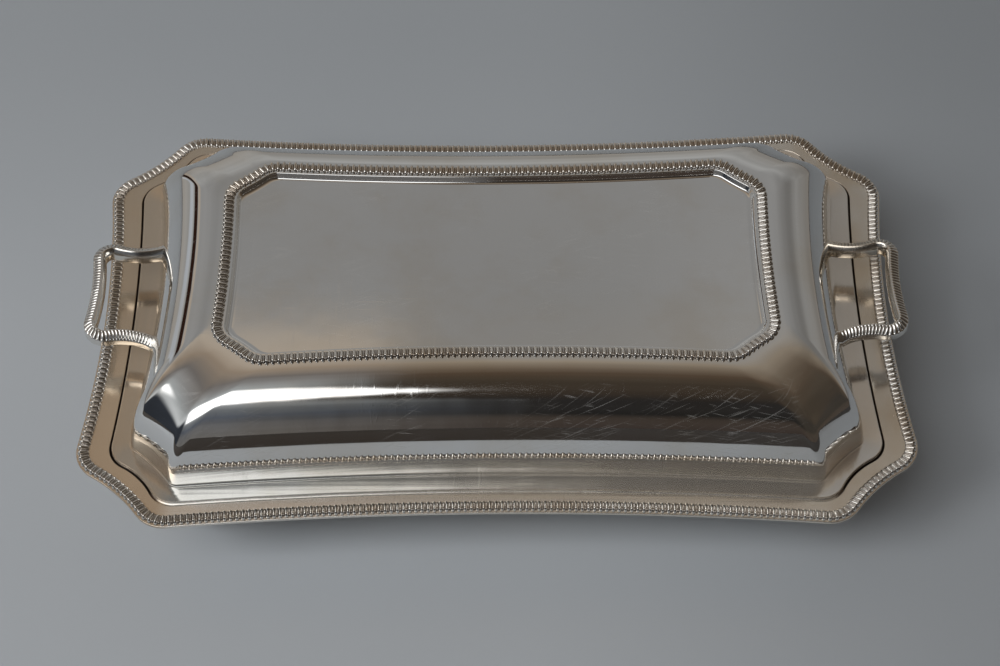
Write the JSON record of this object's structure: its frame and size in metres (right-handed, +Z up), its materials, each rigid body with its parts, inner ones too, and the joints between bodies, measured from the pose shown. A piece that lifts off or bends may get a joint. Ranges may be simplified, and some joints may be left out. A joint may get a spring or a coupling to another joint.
{
  "type": "entree dish",
  "caption": "Oblong silver entree dish with incurved sides and canted corners, gadroon borders and a raised lift-off cover with loop end handles.",
  "frame": {"origin": "middle of the flat base, on the table", "axes": "+Z up, X along the dish from handle to handle, Y across it, front at -Y"},
  "size_m": [0.299, 0.1808, 0.0715],
  "materials": {
    "silver_dish": "polished, a little warm tarnish",
    "silver_cover": "polished, fine wiping scratches",
    "silver_border": "polished tops, dark in the grooves",
    "silver_handle": "polished, dark in the grooves"
  },
  "bodies": {
    "dish": {"dish_pan": "silver_dish", "dish_border_front": "silver_border", "dish_border_right": "silver_border", "dish_border_back": "silver_border", "dish_border_left": "silver_border"},
    "cover": {"cover_shell": "silver_cover", "cover_border_front": "silver_border", "cover_border_right": "silver_border", "cover_border_back": "silver_border", "cover_border_left": "silver_border", "cover_bezel_front": "silver_cover", "cover_bezel_right": "silver_cover", "cover_bezel_back": "silver_cover", "cover_bezel_left": "silver_cover", "handle_left": "silver_handle", "handle_right": "silver_handle"}
  },
  "joints": [
    {"name": "cover_lift", "type": "slide", "parent": "dish", "child": "cover", "axis": [0, 0, 1], "range_m": [0, 0.12]}
  ]
}
